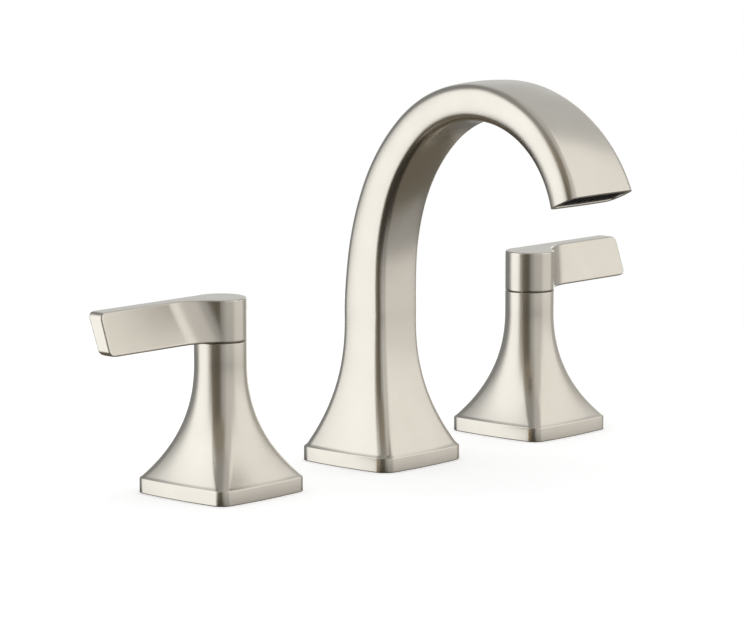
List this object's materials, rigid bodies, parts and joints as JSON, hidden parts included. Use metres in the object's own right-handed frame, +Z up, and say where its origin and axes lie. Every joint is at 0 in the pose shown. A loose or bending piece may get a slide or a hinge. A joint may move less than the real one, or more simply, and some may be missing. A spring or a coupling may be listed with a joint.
{
  "type": "widespread bathroom faucet",
  "caption": "Widespread deck faucet: square flared gooseneck spout that widens to a flat mouth, between lever valves on matching square flared feet, with its fittings below the deck.",
  "frame": {"origin": "centre of the spout's foot on the plane of the deck, on the axis of the spout's shank", "axes": "+X from the hot valve to the cold valve, +Y to the back, away from the user, +Z up; the spout points to -Y"},
  "size_m": [0.3372, 0.1523, 0.2494],
  "materials": {
    "nickel": "warm brushed nickel, satin",
    "steel": "stainless steel, plain",
    "brass": "machined brass, uncoated",
    "rubber": "black rubber, matte",
    "foam": "grey foam rubber, matte",
    "nylon": "natural nylon, smooth",
    "ceramic": "lapped white ceramic, smooth",
    "black_plastic": "black moulded plastic, matte"
  },
  "bodies": {
    "faucet": {"hot_escutcheon": "nickel", "hot_foot_gasket": "foam", "hot_neck_bushing": "nylon", "hot_cartridge_body": "brass", "hot_fixed_disc": "ceramic", "hot_cartridge_seal": "rubber", "hot_cartridge_o_ring": "rubber", "hot_cartridge_nut": "brass", "hot_escutcheon_nut": "brass", "hot_valve_body": "brass", "hot_deck_flange": "steel", "cold_escutcheon": "nickel", "cold_foot_gasket": "foam", "cold_neck_bushing": "nylon", "cold_cartridge_body": "brass", "cold_fixed_disc": "ceramic", "cold_cartridge_seal": "rubber", "cold_cartridge_o_ring": "rubber", "cold_cartridge_nut": "brass", "cold_escutcheon_nut": "brass", "cold_valve_body": "brass", "cold_deck_flange": "steel", "rubber_washers": "rubber", "steel_washers": "steel", "mounting_nuts": "brass", "spout_body": "nickel", "waterway_tube": "steel", "spout_foot_gasket": "foam", "base_insert": "brass", "base_screws": "steel", "spout_shank": "brass", "inlet_tee": "brass", "tee_o_rings": "rubber", "tee_coupling_nut": "brass", "outlet_housing": "black_plastic", "flow_restrictor": "black_plastic", "outlet_screen": "steel", "flow_straightener": "black_plastic"},
    "hot_handle": {"hot_lever": "nickel", "hot_set_screw": "steel", "hot_spline_adapter": "brass", "hot_stem": "brass", "hot_stem_o_ring": "rubber", "hot_moving_disc": "ceramic"},
    "cold_handle": {"cold_lever": "nickel", "cold_set_screw": "steel", "cold_spline_adapter": "brass", "cold_stem": "brass", "cold_stem_o_ring": "rubber", "cold_moving_disc": "ceramic"}
  },
  "joints": [
    {"name": "hot_handle_turn", "type": "hinge", "parent": "faucet", "child": "hot_handle", "pos_m": [-0.1016, 0, 0.062], "axis": [0, 0, 1], "range_deg": [0, 90]},
    {"name": "cold_handle_turn", "type": "hinge", "parent": "faucet", "child": "cold_handle", "pos_m": [0.1016, 0, 0.062], "axis": [0, 0, -1], "range_deg": [0, 90]}
  ]
}
